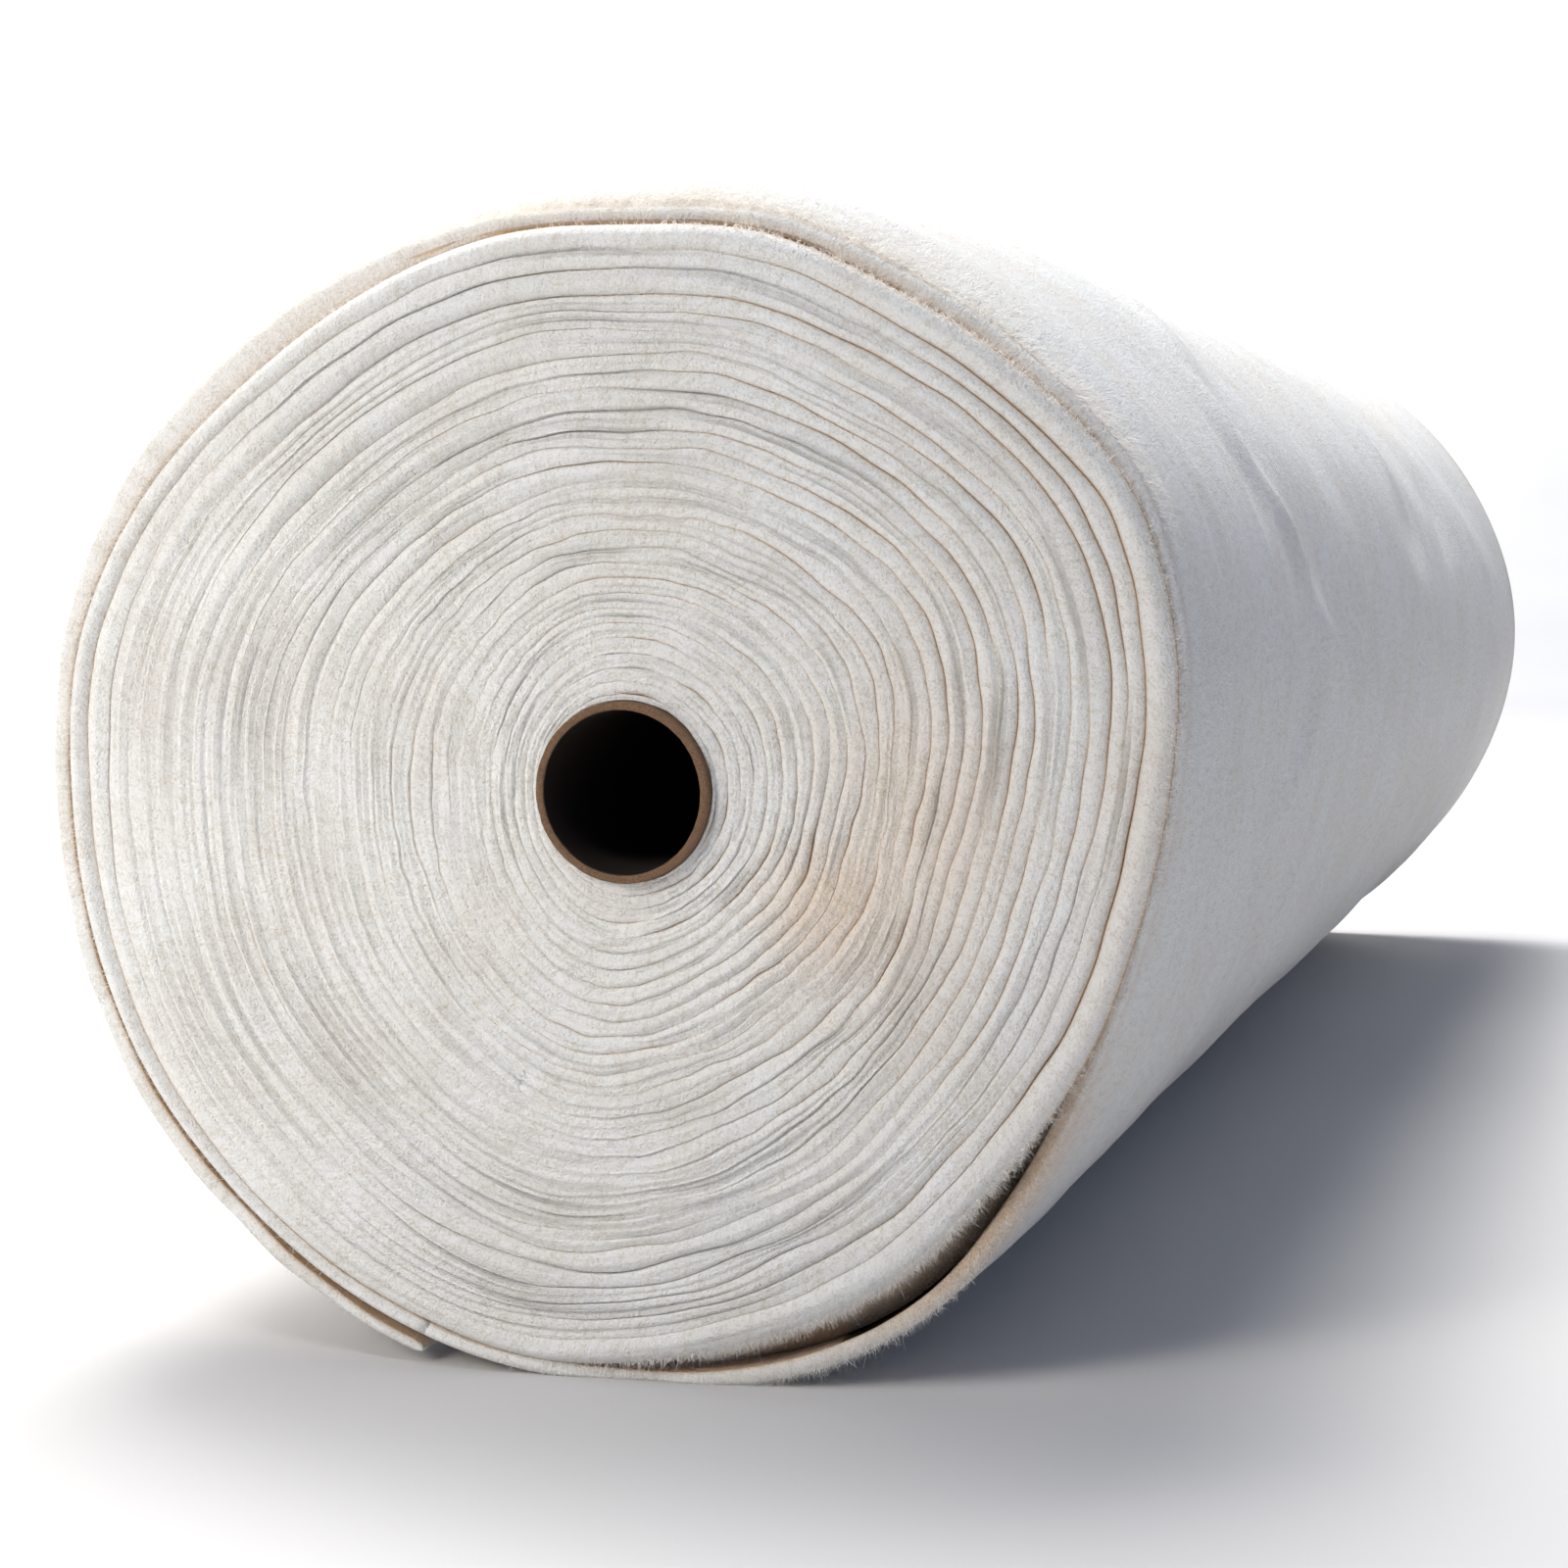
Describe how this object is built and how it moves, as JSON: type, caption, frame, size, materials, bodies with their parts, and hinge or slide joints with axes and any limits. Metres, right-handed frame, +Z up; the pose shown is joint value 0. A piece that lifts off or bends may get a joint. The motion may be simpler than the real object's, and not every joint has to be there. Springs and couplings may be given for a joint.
{
  "type": "roll of quilt batting",
  "caption": "Thick soft roll of needle-punched cotton quilt batting, folded double and wound on a paper core whose open bore takes a bar or spindle.",
  "frame": {"origin": "on the ground under the middle of the roll's outer box", "axes": "+Y along the roll from its near end to its far end, +Z up from the flat spot it rests on, +X to the right as the near end is seen"},
  "size_m": [0.5778, 1.587, 0.5669],
  "materials": {
    "batting": "soft matt needle-punched cotton, natural off-white",
    "core_board": "matt brown spiral-wound paperboard"
  },
  "bodies": {
    "root": {"batting_roll": "batting", "core_tube": "core_board"}
  },
  "joints": []
}
